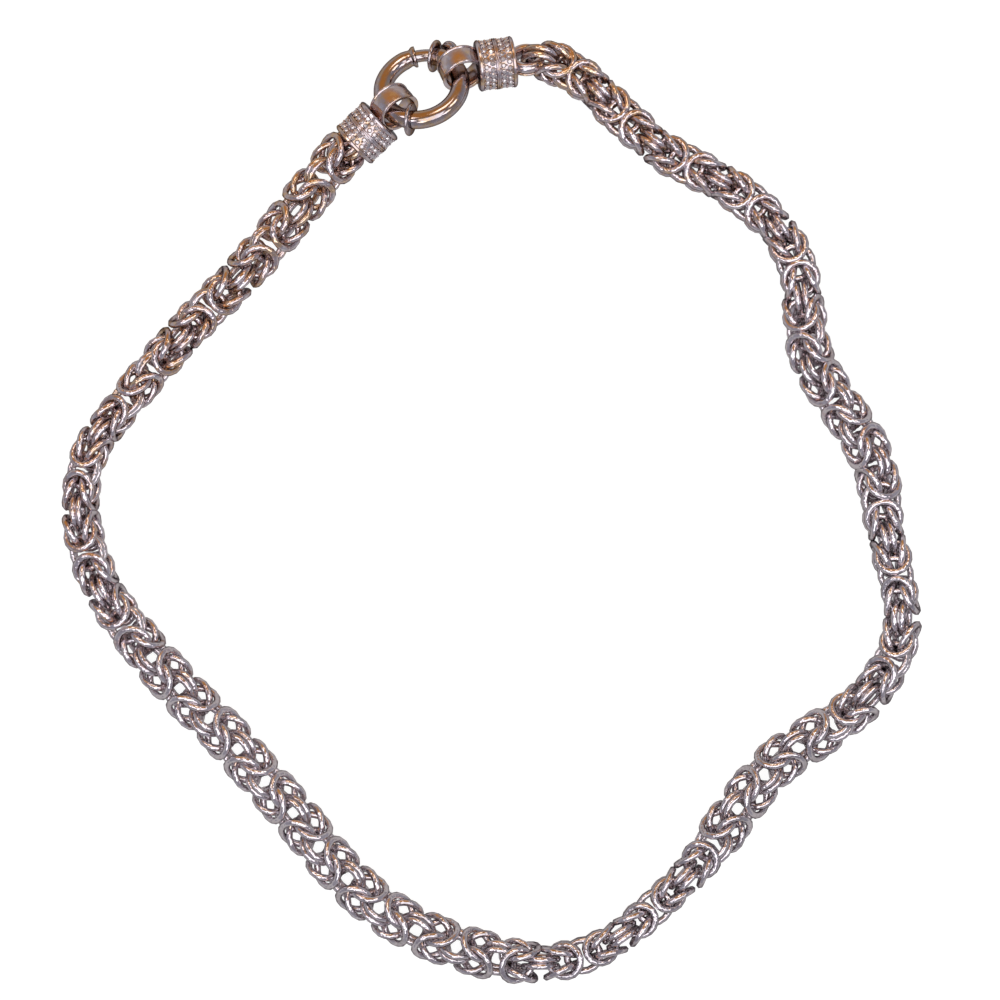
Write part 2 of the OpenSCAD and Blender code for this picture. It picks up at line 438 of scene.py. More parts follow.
def path_mesh(sizes):
    """A line with STEPS points for each knot, with its roll, flare, reach and width"""
    fine = [spline(i/FINE_STEPS) for i in range(FINE_STEPS+1)]
    rows, run = [(0.0, fine[0])], 0.0
    for a, b in zip(fine, fine[1:]):
        run += (b-a).length
        rows.append((run, b))
    count = sizes.knots*STEPS+2*SPARE+1
    points, rolls, flares, reaches, widths = [], [], [], [], []
    step = 0
    for j in range(count):
        knot = (j-SPARE)/STEPS
        along = between(KNOT_PLACES, knot)*MM
        if along <= 0:
            place = rows[0][1]+(rows[1][1]-rows[0][1]).normalized()*along
        elif along >= run:
            place = rows[-1][1]+(rows[-1][1]-rows[-2][1]).normalized()*(along-run)
        else:
            while rows[step+1][0] < along:
                step += 1
            f = (along-rows[step][0])/(rows[step+1][0]-rows[step][0])
            place = rows[step][1].lerp(rows[step+1][1], f)
        flare = eased(KNOT_ROLLS, knot, 2)
        points.append(place+Vector((0, 0, FLARE_LIFT*MM*flare)))
        rolls.append(math.radians(eased(KNOT_ROLLS, knot, 1)))
        flares.append(flare)
        pitch = between(KNOT_PLACES, knot+0.5)-between(KNOT_PLACES, knot-0.5)
        reaches.append(between(KNOT_REACHES, pitch))
        widths.append(eased(KNOT_WIDTHS, knot, 1))
    mesh = bpy.data.meshes.new("chain_path")
    mesh.from_pydata(points, [(i, i+1) for i in range(count-1)], [])
    for label, values in (("roll", rolls), ("flare", flares), ("reach", reaches),
                          ("width", widths)):
        attribute = mesh.attributes.new(label, "FLOAT", "POINT")
        attribute.data.foreach_set("value", values)
    return mesh


# What a pair of links does in a knot, in wire thicknesses and degrees: place
# says whether it reaches on from the knot's start or back from its end, out
# and lean go from the narrow weave to the flared one, and face says which way
# it faces.
LINK_PAIRS = {
    "connector_links": dict(place=0, out=(0.55, 0.55), lean=(0, 0), face="side"),
    "inner_knot_links": dict(place=1, out=(1.35, 1.7), lean=(19, 25), face="up"),
    "outer_knot_links": dict(place=-1, out=(1.35, 1.7), lean=(-19, -25), face="side"),
}


def link_tree(name, pair, sizes, material):
    """Two links for each knot, linked into the pairs before and after them.
    There is one pair of connectors more than there are knots."""
    tree = Tree(name, {"Wire": sizes.wire, "Link radius": sizes.link,
                       "Knots": sizes.knots + (pair["place"] == 0), "Seed": sizes.seed,
                       "Link sides": sizes.around, "Wire sides": sizes.sides})
    path, seed = tree.size("Geometry"), tree.size("Seed")

    def named(label):
        return tree.add("GeometryNodeInputNamedAttribute", [("Name", label)],
                        data_type="FLOAT")

    index = tree.add("GeometryNodeInputIndex")
    knot = tree.math("FLOOR", tree.math("DIVIDE", index, 2.0))
    side = tree.math("SUBTRACT", tree.math("MULTIPLY", tree.math("MODULO", index, 2.0), 2.0), 1.0)
    inside = tree.math("MULTIPLY_ADD", knot, float(STEPS), SPARE+STEPS*0.5)
    reach = tree.sample(path, named("reach"), inside, "FLOAT")
    share = {0: 0.0, 1: reach, -1: tree.math("SUBTRACT", 1.0, reach)}[pair["place"]]
    at = tree.math("MULTIPLY_ADD", tree.math("ADD", knot, share), float(STEPS), float(SPARE))
    below = tree.math("FLOOR", at)
    above = tree.math("ADD", below, 1.0)
    past = tree.math("FRACT", at)
    position = tree.add("GeometryNodeInputPosition")

    def along(field, data_type):
        """A field's value at the pair's place along the path"""
        a = tree.sample(path, field, below, data_type)
        b = tree.sample(path, field, above, data_type)
        if data_type == "FLOAT":
            return tree.math("ADD", tree.math("MULTIPLY", a, tree.math("SUBTRACT", 1.0, past)),
                             tree.math("MULTIPLY", b, past))
        return tree.vector("ADD", tree.scaled(a, tree.math("SUBTRACT", 1.0, past)),
                           tree.scaled(b, past))

    def blend(narrow, flared):
        return tree.math("MULTIPLY_ADD", flare, float(flared-narrow), float(narrow))

    middle = along(position, "FLOAT_VECTOR")
    # The way along the chain is taken over five steps of the path
    ahead = tree.sample(path, position, tree.math("ADD", below, 3.0), "FLOAT_VECTOR")
    behind = tree.sample(path, position, tree.math("SUBTRACT", below, 2.0), "FLOAT_VECTOR")
    tangent = tree.vector("NORMALIZE", tree.vector("SUBTRACT", ahead, behind))
    left = tree.vector("NORMALIZE", tree.vector("CROSS_PRODUCT", (0, 0, 1), tangent))
    up = tree.vector("CROSS_PRODUCT", tangent, left)
    flare = along(named("flare"), "FLOAT")
    turn = tree.math("ADD", tree.math("MULTIPLY", knot, math.pi/2),
                     along(named("roll"), "FLOAT"))
    turn = tree.math("ADD", turn, tree.spread(-SLACK["turn"], SLACK["turn"], seed))
    cos, sin = tree.math("COSINE", turn), tree.math("SINE", turn)
    across = tree.vector("ADD", tree.scaled(left, cos), tree.scaled(up, sin))
    over = tree.vector("SUBTRACT", tree.scaled(up, cos), tree.scaled(left, sin))
    face = across if pair["face"] == "side" else over

    wire = tree.size("Wire")
    width = along(named("width"), "FLOAT")
    out = tree.math("MULTIPLY", tree.math("MULTIPLY", blend(*pair["out"]), wire),
                    tree.math("MULTIPLY", side, width))
    lean = tree.math("MULTIPLY", blend(*[math.radians(v) for v in pair["lean"]]), side)
    lean = tree.math("ADD", lean, tree.spread(-SLACK["lean"], SLACK["lean"],
                                              tree.math("ADD", seed, 1)))
    facing = tree.vector("SUBTRACT", tree.scaled(face, tree.math("COSINE", lean)),
                         tree.scaled(tangent, tree.math("SINE", lean)))
    slack = SLACK["place"]*MM
    shift = tree.spread((-slack,)*3, (slack,)*3, tree.math("ADD", seed, 2), "FLOAT_VECTOR")
    place = tree.vector("ADD", tree.vector("ADD", middle, tree.scaled(face, out)), shift)
    spots = tree.add("GeometryNodePoints",
                     [("Count", tree.math("MULTIPLY", tree.size("Knots"), 2.0)),
                      ("Position", place)])
    aim = tree.add("FunctionNodeAlignRotationToVector", [("Vector", facing)], axis="Z")
    aim = tree.add("FunctionNodeAlignRotationToVector", [("Rotation", aim), ("Vector", tangent)],
                   axis="X", pivot_axis="Z")
    ring = tree.add("GeometryNodeCurvePrimitiveCircle",
                    [("Resolution", tree.size("Link sides")), ("Radius", tree.size("Link radius"))])
    section = tree.add("GeometryNodeCurvePrimitiveCircle",
                       [("Resolution", tree.size("Wire sides")),
                        ("Radius", tree.math("MULTIPLY", wire, 0.5))])
    link = tree.add("GeometryNodeCurveToMesh", [("Curve", ring), ("Profile Curve", section)])
    link = tree.add("GeometryNodeSetShadeSmooth", [("Geometry", link)])
    links = tree.add("GeometryNodeInstanceOnPoints",
                     [("Points", spots), ("Instance", link), ("Rotation", aim),
                      ("Scale", tree.xyz(1.0, width, 1.0))])
    tree.finish(links, material)
    return tree


# Materials

def shader(name):
    """A new material with its nodes, links and shader node"""
    material = bpy.data.materials.new(name)
    material.use_nodes = True
    nodes = material.node_tree.nodes
    return material, nodes, material.node_tree.links, nodes["Principled BSDF"]


def ramp(nodes, stops):
    """A colour ramp from (place, colour) rows"""
    node = nodes.new("ShaderNodeValToRGB")
    elements = node.color_ramp.elements
    while len(elements) < len(stops):
        elements.new(0.5)
    for element, (place, colour) in zip(elements, stops):
        element.position = place
        element.color = (*colour, 1)
    return node


def noise(nodes, links, coordinates, scale, detail=3, rough=0.5):
    """A noise value, with scale patches to a metre"""
    node = nodes.new("ShaderNodeTexNoise")
    node.inputs["Scale"].default_value = scale
    node.inputs["Detail"].default_value = detail
    node.inputs["Roughness"].default_value = rough
    links.new(coordinates, node.inputs["Vector"])
    return node.outputs["Fac"]


def ranged(nodes, links, value, low, high, from_low=0.3, from_high=0.7):
    """A value brought from one range to another"""
    node = nodes.new("ShaderNodeMapRange")
    for label, number in (("From Min", from_low), ("From Max", from_high),
                          ("To Min", low), ("To Max", high)):
        node.inputs[label].default_value = number
    links.new(value, node.inputs["Value"])
    return node.outputs["Result"]


# Noise on the metal, in patches to a metre, and how its tone shifts toward the clasp, for each
# metre along an axis: darker away from it, rose and amber nearer it. The amber is a painted warm
# reflection, laid on more thickly toward the clasp.
PATCHES, WEAR, WAVES = 420, 1300, 1100
DULLING_AND_PAINTED_REFLECTION = (("Y", 2.0), ("X", -1.0))


def silver(name, warmth, gloss, dents, depth=1.0):
    """Polished silver with dark and rose dulling, amber patches that are a painted
    warm reflection, and small dents. warmth is how much of it is rose and amber,
    gloss its (low, high) roughness, dents the depth of its small dents in metres,
    and depth a factor on its brightness, a painted shade that makes a copy of the
    same silver darker."""
    colours = bpy.context.scene.necklace_finish
    material, nodes, links, bsdf = shader(name)
    place = nodes.new("ShaderNodeTexCoord").outputs["Object"]
    patches = noise(nodes, links, place, PATCHES, 5, 0.7)
    apart = nodes.new("ShaderNodeSeparateXYZ")
    links.new(place, apart.inputs[0])
    for axis, share in DULLING_AND_PAINTED_REFLECTION:
        shift = nodes.new("ShaderNodeMath")
        shift.operation = "MULTIPLY_ADD"
        links.new(apart.outputs[axis], shift.inputs[0])
        shift.inputs[1].default_value = share
        links.new(patches, shift.inputs[2])
        patches = shift.outputs[0]
    # depth scales every tone, a painted shade that darkens this copy of the silver.
    clean, rose, amber = ([depth*v for v in colour] for colour in
                          (colours.silver, colours.rose, colours.amber))
    dark = [0.72*v for v in clean]
    # The dark and rose stops are dulling; the amber stop is a painted warm reflection.
    tone = ramp(nodes, [(0.30-warmth, dark), (0.46-warmth, clean), (0.60-warmth, clean),
                        (0.70-warmth, rose), (0.82-warmth, amber), (1.0, rose)])
    links.new(patches, tone.inputs["Fac"])
    links.new(tone.outputs["Color"], bsdf.inputs["Base Color"])
    bsdf.inputs["Metallic"].default_value = 1.0
    # The dark edge tint is painted shade: it darkens the metal's rims, which would otherwise mirror
    # the bright table.
    bsdf.inputs["Specular Tint"].default_value = (0.12, 0.10, 0.11, 1)
    wear = noise(nodes, links, place, WEAR, 4, 0.6)
    links.new(ranged(nodes, links, wear, *gloss), bsdf.inputs["Roughness"])
    waves = noise(nodes, links, place, WAVES, 1, 0.5)
    bump = nodes.new("ShaderNodeBump")
    bump.inputs["Strength"].default_value = 0.8
    bump.inputs["Distance"].default_value = dents
    links.new(waves, bump.inputs["Height"])
    links.new(bump.outputs["Normal"], bsdf.inputs["Normal"])
    return material


def stone_material():
    """Small cut stones that show the metal behind them, so half mirror-like"""
    material, nodes, links, bsdf = shader("clear_stone")
    place = nodes.new("ShaderNodeTexCoord").outputs["Object"]
    colours = bpy.context.scene.necklace_finish
    tint = ramp(nodes, [(0.35, colours.stone), (0.65, colours.bright)])
    links.new(noise(nodes, links, place, 900, 1), tint.inputs["Fac"])
    links.new(tint.outputs["Color"], bsdf.inputs["Base Color"])
    bsdf.inputs["Roughness"].default_value = 0.16
    bsdf.inputs["Metallic"].default_value = 0.7
    bsdf.inputs["IOR"].default_value = 2.2
    return material


def table_material():
    """A white table that is also lit from below, so its shadows stay pale. The
    metal mirrors it greyer, as the photo's white ground was cut out later."""
    material, nodes, links, bsdf = shader("pale_table")
    place = nodes.new("ShaderNodeTexCoord").outputs["Object"]
    table = bpy.context.scene.necklace_finish.table
    shade = ramp(nodes, [(0.0, tuple(0.985*v for v in table)), (1.0, tuple(table))])
    links.new(noise(nodes, links, place, 12, 2), shade.inputs["Fac"])
    links.new(shade.outputs["Color"], bsdf.inputs["Base Color"])
    bsdf.inputs["Roughness"].default_value = 0.6
    bsdf.inputs["Emission Color"].default_value = (1, 1, 1, 1)
    rays = nodes.new("ShaderNodeLightPath")
    links.new(ranged(nodes, links, rays.outputs["Is Glossy Ray"], 0.92, 0.31, 0, 1),
              bsdf.inputs["Emission Strength"])
    return material


# What the function silver is given for each of the three silvers. depth paints shade on the ring's
# and the barrels' copies, making them darker than the links.
SILVERS = {
    "link_silver": dict(warmth=0.08, gloss=(0.08, 0.18), dents=0.18*MM),
    "ring_silver": dict(warmth=0.06, gloss=(0.08, 0.16), dents=0.012*MM, depth=0.74),
    "barrel_silver": dict(warmth=0.04, gloss=(0.12, 0.22), dents=0.012*MM, depth=0.96),
}


def finish_named(name):
    """The material of that name, made when it is first asked for"""
    made = bpy.data.materials.get(name)
    if made:
        return made
    return silver(name, **SILVERS[name]) if name in SILVERS else stone_material()


# The clasp

def ring_place():
    """The matrix of the leaning ring's own plane"""
    return (Matrix.Translation(RING_AT) @ Matrix.Rotation(math.radians(RING_TURN), 4, "Z")
            @ Matrix.Rotation(math.radians(-RING_LEAN), 4, "X"))


def around_ring(middle, angle, out, lift):
    """A point at an angle of the ring, out from its middle line and above its plane"""
    a = math.radians(angle)
    return Vector(((middle+out)*math.cos(a), (middle+out)*math.sin(a), lift))


# Swell of the tube's outside as shares of its radius, by the angle round the
# ring: the lip, the neck behind it, and the sleeve at the bolt's collar
TUBE_SWELL = [(80.5, 1.16), (83, 1.18), (85, 1.12), (87.5, 0.93), (90, 0.9),
              (93, 0.96), (98, 1.0), (392, 1.0), (396, 1.05), (404, 1.05),
              (405, 1.0), (416, 1.0)]


def ring_tube(sizes):
    """The hollow tube, from the lip round to the bolt's side of the gate, with
    the slot that the knob slides along"""
    start, stop = GATE_HIGH, 360+GATE_LOW
    steps, sides, clear = 110, 26, 5
    slot_half = math.degrees(sizes.slot/(sizes.tube/2))
    slot_low, slot_high = 360+SLOT_FROM-clear, 360+KNOB_AT+clear
    angles = sorted({slot_low, slot_high, *[row[0] for row in TUBE_SWELL],
                     *[start+(stop-start)*i/steps for i in range(steps+1)]})
    angles = [a for i, a in enumerate(angles) if i == 0 or a-angles[i-1] > 0.4
              or a in (slot_low, slot_high)]
    turns = ([-slot_half, 0, slot_half]
             + [slot_half+(360-2*slot_half)*i/sides for i in range(1, sides)])
    n, m = len(turns), len(angles)
    points = []
    for inner in (False, True):
        for a in angles:
            r = sizes.bore/2 if inner else sizes.tube/2*between(TUBE_SWELL, a)
            for t in turns:
                t = math.radians(t)
                points.append(around_ring(sizes.ring, a, r*math.cos(t), r*math.sin(t)))

    def is_open(i, k):
        """Whether the slot takes the face after the angle i and the turn k"""
        middle = (angles[i]+angles[i+1])/2
        return slot_low < middle < slot_high and k < 2

    # Both skins with the walls along the slot, then the walls across it and
    # at the tube's two ends
    faces = []
    for i in range(m-1):
        for k in range(n):
            u = (k+1) % n
            if is_open(i, k):
                continue
            for skin in (0, n*m):
                faces.append([skin+i*n+k, skin+(i+1)*n+k, skin+(i+1)*n+u, skin+i*n+u])
            if is_open(i, u) and u < 2:
                faces.append([i*n+u, (i+1)*n+u, n*m+(i+1)*n+u, n*m+i*n+u])
            if k and is_open(i, k-1):
                faces.append([i*n+k, (i+1)*n+k, n*m+(i+1)*n+k, n*m+i*n+k])
    for i in range(m):
        for k in range(n):
            u = (k+1) % n
            shut_before = i > 0 and not is_open(i-1, k)
            shut_after = i < m-1 and not is_open(i, k)
            if shut_before != shut_after:
                faces.append([i*n+k, i*n+u, n*m+i*n+u, n*m+i*n+k])
    return mesh_from("ring_tube", points, faces)


def disc(sizes, angle):
    """A round edged collar on the tube, at an angle of the ring"""
    radius, half = sizes.collar/2, sizes.flange/2
    edge = half*0.8
    outline = [(0, -half), (radius-2*edge, -half), *arc((radius-edge, 0), edge, -80, 80, 8),
               (radius-2*edge, half), (0, half)]
    mesh = mesh_from("disc", *lathe(outline, 56))
    a = math.radians(angle)
    return turned(mesh, Matrix.Rotation(a, 4, "Z") @ Matrix.Translation((sizes.ring, 0, 0))
                  @ Matrix.Rotation(math.radians(90), 4, "X"))


def bolt_mesh(sizes):
    """The curved bolt with a round tip, its stem and its ridged thumb knob"""
    sides, steps = 24, 40
    radius = sizes.bolt/2
    start, stop = KNOB_AT-6, BOLT_TIP
    cap = math.degrees(0.35*MM/sizes.ring)
    rows = [(start, 0), (start, radius-0.2*MM), (start+cap*0.5, radius)]
    rows += [(start+cap+(stop-start-2*cap)*i/steps, radius) for i in range(steps+1)]
    rows += [(stop-cap*0.4, radius-0.08*MM), (stop-cap*0.1, radius-0.28*MM), (stop, 0)]
    points, faces = [], []
    for angle, r in rows:
        for k in range(sides):
            t = 2*math.pi*k/sides
            points.append(around_ring(sizes.ring, angle, r*math.cos(t), r*math.sin(t)))
    for i in range(len(rows)-1):
        for k in range(sides):
            u = (k+1) % sides
            faces.append([i*sides+k, (i+1)*sides+k, (i+1)*sides+u, i*sides+u])
    rod = mesh_from("rod", points, faces)
    base, top = 1.85*MM, 3.65*MM
    stem = mesh_from("stem", *lathe(
        [(0, 0), (0.55*MM, 0), (0.55*MM, base+0.2*MM), (0, base+0.2*MM)], 24))
    knob = sizes.knob/2
    crown, brow = knob-0.06*MM, base+0.62*MM
    outline = [(0, base), (knob-0.3*MM, base), (crown, base+0.1*MM), (knob, base+0.28*MM),
               (crown, base+0.46*MM), (knob-0.14*MM, base+0.54*MM)]
    outline += [(r, brow+h*(top-brow)/crown) for r, h in arc((0, 0), crown, 0, 90, 10)[:-1]]
    outline.append((0, top))
    button = mesh_from("button", *lathe(outline, 40))
    outward = (Matrix.Rotation(math.radians(KNOB_AT), 4, "Z")
               @ Matrix.Translation((sizes.ring, 0, 0)) @ Matrix.Rotation(math.radians(90), 4, "Y"))
    return joined("bolt", rod, turned(stem, outward), turned(button, outward))


# The end barrels

def barrel_place(spot):
    """The matrix of a barrel's own axis, which leads from the clasp along X"""
    return (Matrix.Translation(Vector(spot["at"])*MM)
            @ Matrix.Rotation(math.radians(spot["turn"]), 4, "Z")
            @ Matrix.Rotation(math.radians(spot["lean"]), 4, "Y"))


def band_loop(name, hole, wall, wide, dome):
    """A wide loop about Y, with a rounded bead on both edges and a band
    between them that is domed by so much, all in metres"""
    inner, outer, half = hole/2, hole/2+wall, wide/2
    bead, bevel, dip, steps = 0.26*MM, 0.12*MM, 0.2*MM, 8
    outline = [(inner, half-bevel), (inner, 0), (inner, -half+bevel), (inner+bevel, -half)]
    outline += arc((outer-bead*1.1, -half+bead), bead, -80, 60, 7)
    outline += [(outer-dip+dome*(1-(i/steps)**2), (half-2*bead)*i/steps)
                for i in range(-steps, steps+1)]
    outline += arc((outer-bead*1.1, half-bead), bead, -60, 80, 7)
    outline += [(inner+bevel, half)]
    mesh = mesh_from(name, *lathe(outline, 84, cyclic=True), sharp=50)
    return turned(mesh, Matrix.Rotation(math.radians(90), 4, "X"))


def barrel_outline(sizes, face):
    """Outline of a barrel about X, from its bail end to its chain end"""
    r, rim = sizes.radius, sizes.rim
    band = (sizes.long-3*rim)/2
    x = [face, face+rim, face+rim+band, face+2*rim+band, face+2*rim+2*band,
         face+sizes.long]
    low = sizes.floor
    corner, inset, bevel, chamfer = 0.35*MM, 0.42*MM, 0.18*MM, 0.28*MM
    lip, drop, shoulder = 0.12*MM, 0.1*MM, 0.2*MM
    ridge = (x[3]-x[2])/4
    out = [(0, x[0]), *arc((r-inset, x[0]+corner), corner, 270, 300, 2)]
    out += [(r-bevel, x[0]+drop), (r, x[0]+chamfer), (r, x[1]-lip), (r-drop, x[1]),
            (low, x[1]), (low, x[2]), (r-shoulder, x[2])]
    out += arc((r-ridge, x[2]+ridge), ridge, -60, 60, 6)
    out += arc((r-ridge, x[3]-ridge), ridge, -60, 60, 6)
    out += [(r-shoulder, x[3]), (low, x[3]), (low, x[4]), (r-drop, x[4]), (r, x[4]+lip),
            (r, x[5]-chamfer), (r-bevel, x[5]-drop)]
    out += [*arc((r-inset, x[5]-corner), corner, 60, 90, 2), (0, x[5])]
    return out


def barrel_metal(sizes, spot):
    """A barrel's body, its bail and its chain loop"""
    face = spot["face"]*MM
    body = mesh_from("barrel", *lathe(barrel_outline(sizes, face), 96), sharp=30)
    turned(body, Matrix.Rotation(math.radians(90), 4, "Y"))
    bail = band_loop("bail", **BAIL)
    turned(bail, Matrix.Rotation(math.radians(spot["roll"]), 4, "X")
           @ Matrix.Rotation(math.radians(spot["skew"]), 4, "Z"))
    loop = band_loop("loop", **CHAIN_LOOP)
    turned(loop, Matrix.Translation((face+sizes.long+LOOP_STEP*MM, 0, 0))
           @ Matrix.Rotation(math.radians(LOOP_ROLL), 4, "X"))
    return body, bail, loop


def cut_stone(size):
    """A round cut stone, table up, with star, kite and girdle facets"""
    r = size/2
    crown, depth = 0.24*MM, 0.26*MM
    # Each ring of corners: radius, height, how many, and its turn in steps
    rows = [(0.56*r, crown, 8, 0), (0.80*r, crown*0.52, 8, 0.5), (r, 0.03*MM, 16, 0),
            (r, -0.02*MM, 16, 0), (0.42*r, -depth, 8, 0)]
    points, starts = [], []
    for radius, height, count, shift in rows:
        starts.append(len(points))
        for k in range(count):
            a = 2*math.pi*(k+shift)/count
            points.append(Vector((radius*math.cos(a), radius*math.sin(a), height)))
    # Where the table, the stars, the girdle's two edges and the foot begin
    t, s, g, b, c = starts
    faces = [[t+k for k in range(8)], [c+k for k in range(7, -1, -1)]]
    for k in range(8):
        u, v, w = (k+1) % 8, (k-1) % 8, 2*k
        faces.append([t+k, t+u, s+k])
        faces.append([t+k, s+k, g+w, s+v])
        faces.append([s+k, g+(w+1) % 16, g+w])
        faces.append([s+k, g+(w+2) % 16, g+(w+1) % 16])
        faces.append([c+k, b+w, b+(w+1) % 16, c+u])
        faces.append([c+u, b+(w+1) % 16, b+(w+2) % 16])
    for k in range(16):
        u = (k+1) % 16
        faces.append([g+k, g+u, b+u, b+k])
    mesh = mesh_from("cut_stone", points, faces, sharp=1)
    mesh.polygons.foreach_set("use_smooth", [False]*len(mesh.polygons))
    return mesh


def grain(size):
    """A small round bead of metal"""
    work = bmesh.new()
    bmesh.ops.create_icosphere(work, subdivisions=1, radius=size/2)
    mesh = bpy.data.meshes.new("grain")
    work.to_mesh(mesh)
    work.free()
    return mesh


def rows_tree(name, sizes, face, material, radius, between_stones):
    """Copies of a small shape in rows round a barrel: two rows in each band
    of stones, or three where they stand between the stones"""
    rim = sizes.rim
    band = (sizes.long-3*rim)/2
    lines, loose = 3 if between_stones else 2, 0.12
    tree = Tree(name, {"Face": face, "Rim": rim, "Band": band, "Radius": radius,
                       "Around": sizes.around, "Seed": 3})
    index = tree.add("GeometryNodeInputIndex")
    around = tree.size("Around")
    line = tree.math("FLOOR", tree.math("DIVIDE", index, around))
    band_number = tree.math("FLOOR", tree.math("DIVIDE", line, float(lines)))
    line_in_band = tree.math("MODULO", line, float(lines))
    step = tree.math("MODULO", index, around)
    half_turn = tree.math("MULTIPLY", tree.math("MODULO", line_in_band, 2.0), 0.5)
    if between_stones:
        half_turn = tree.math("ADD", half_turn, 0.5)
        share = tree.math("MULTIPLY_ADD", line_in_band, 0.42, 0.08)
    else:
        share = tree.math("MULTIPLY_ADD", line_in_band, 0.5, 0.25)
    turn = tree.math("MULTIPLY", tree.math("DIVIDE", tree.math("ADD", step, half_turn), around),
                     2*math.pi)
    start = tree.math("ADD", tree.size("Face"), tree.size("Rim"))
    pitch = tree.math("ADD", tree.size("Band"), tree.size("Rim"))
    x = tree.math("ADD", start, tree.math("MULTIPLY", band_number, pitch))
    x = tree.math("ADD", x, tree.math("MULTIPLY", share, tree.size("Band")))
    y = tree.math("MULTIPLY", tree.math("MULTIPLY", tree.math("SINE", turn), -1.0),
                  tree.size("Radius"))
    z = tree.math("MULTIPLY", tree.math("COSINE", turn), tree.size("Radius"))
    spots = tree.add("GeometryNodePoints",
                     [("Count", tree.math("MULTIPLY", around, 2.0*lines)),
                      ("Position", tree.xyz(x, y, z))])
    tilt = tree.spread(-loose, loose, tree.size("Seed"))
    outward = tree.vector("NORMALIZE", tree.vector(
        "ADD", tree.vector("NORMALIZE", tree.xyz(0.0, y, z)), tree.xyz(tilt, tilt, 0.0)))
    aim = tree.add("FunctionNodeAlignRotationToVector", [("Vector", outward)], axis="Z")
    copies = tree.add("GeometryNodeInstanceOnPoints",
                      [("Points", spots), ("Instance", tree.size("Geometry")),
                       ("Rotation", aim)])
    tree.finish(copies, material)
    return tree


# Operators

class NECKLACE_OT_chain(bpy.types.Operator):
    """Weaves the chain's links along its path"""
    bl_idname = "necklace.chain"
    bl_label = "Woven chain"

    def execute(self, context):
        sizes = context.scene.necklace_chain
        path = path_mesh(sizes)
        metal = finish_named("link_silver")
        for name, pair in LINK_PAIRS.items():
            tree = link_tree(name, pair, sizes, metal)
            piece(name, tree.run(name, path), metal, "root", "chain", slot="chain_silver")
        return {"FINISHED"}


class NECKLACE_OT_clasp(bpy.types.Operator):
    """Builds the clasp's slotted ring and its two collars"""
    bl_idname = "necklace.clasp"
    bl_label = "Clasp ring"

    def execute(self, context):
        sizes = context.scene.necklace_clasp
        metal = finish_named("ring_silver")
        tube = turned(ring_tube(sizes), ring_place())
        piece("ring_tube", tube, metal, "root", "clasp_ring", slot="clasp_silver")
        half = math.degrees(sizes.flange/2/sizes.ring)
        discs = joined("ring_collars", disc(sizes, GATE_LOW-half), disc(sizes, COLLAR_FAR))
        smooth(discs)
        piece("ring_collars", turned(discs, ring_place()), metal, "root", "clasp_ring",
              slot="clasp_silver")
        return {"FINISHED"}


class NECKLACE_OT_bolt(bpy.types.Operator):
    """Builds the sliding bolt with its thumb knob"""
    bl_idname = "necklace.bolt"
    bl_label = "Bolt"

    def execute(self, context):
        mesh = turned(bolt_mesh(context.scene.necklace_clasp), ring_place())
        smooth(mesh)
        piece("thumb_bolt", mesh, finish_named("ring_silver"), "bolt", "clasp_bolt",
              slot="clasp_silver")
        return {"FINISHED"}


class NECKLACE_OT_barrels(bpy.types.Operator):
    """Builds the end barrels with their bails and chain loops"""
    bl_idname = "necklace.barrels"
    bl_label = "End barrels"

    def execute(self, context):
        sizes = context.scene.necklace_barrel
        metal = finish_named("barrel_silver")
        for side, spot in BARRELS.items():
            place = barrel_place(spot)
            node = f"{side}_barrel"
            for part, mesh in zip(("body", "bail", "loop"), barrel_metal(sizes, spot)):
                piece(f"{node}_{part}", turned(mesh, place), metal, "root", node,
                      slot="clasp_silver")
            tree = rows_tree(f"{side}_grains", sizes, spot["face"]*MM, metal,
                             sizes.bead_seat, True)
            beads = tree.run(f"{side}_grains", grain(sizes.bead))
            beads.polygons.foreach_set("use_smooth", [True]*len(beads.polygons))
            piece(f"{side}_grains", turned(beads, place), metal, "root", node,
                  slot="clasp_silver")
        return {"FINISHED"}


class NECKLACE_OT_stones(bpy.types.Operator):
    """Sets the rows of cut stones around the barrels"""
    bl_idname = "necklace.stones"
    bl_label = "Stones"

    def execute(self, context):
        sizes = context.scene.necklace_barrel
        glass = finish_named("clear_stone")
        for side, spot in BARRELS.items():
            tree = rows_tree(f"{side}_set_stones", sizes, spot["face"]*MM, glass,
                             sizes.seat, False)
            mesh = tree.run(f"{side}_set_stones", cut_stone(sizes.stone))
            piece(f"{side}_set_stones", turned(mesh, barrel_place(spot)), glass, "root",
                  f"{side}_stones", slot="stone")
        return {"FINISHED"}


# Softboxes, all at one distance in metres: direction round the table and
# height angle in degrees, side in metres, power in watts, and tint
LIGHT_DISTANCE = 1.0
LIGHTS = [(-75, 74, 0.80, 2.9, (0.98, 0.98, 1))]
LIGHTS += [(turn, lift, 0.27, 0.62, tint) for turn, lift, tint in (
    (-20, 50, (0.95, 0.97, 1)), (35, 52, (1, 0.93, 0.85)), (95, 48, (1, 0.90, 0.78)),
    (150, 52, (0.97, 0.97, 1)), (205, 54, (0.93, 0.96, 1)), (255, 48, (0.93, 0.96, 1)))]
AMBER_SIDE = (-0.15, 0.74, 0.64)      # where the warm part of the dome is


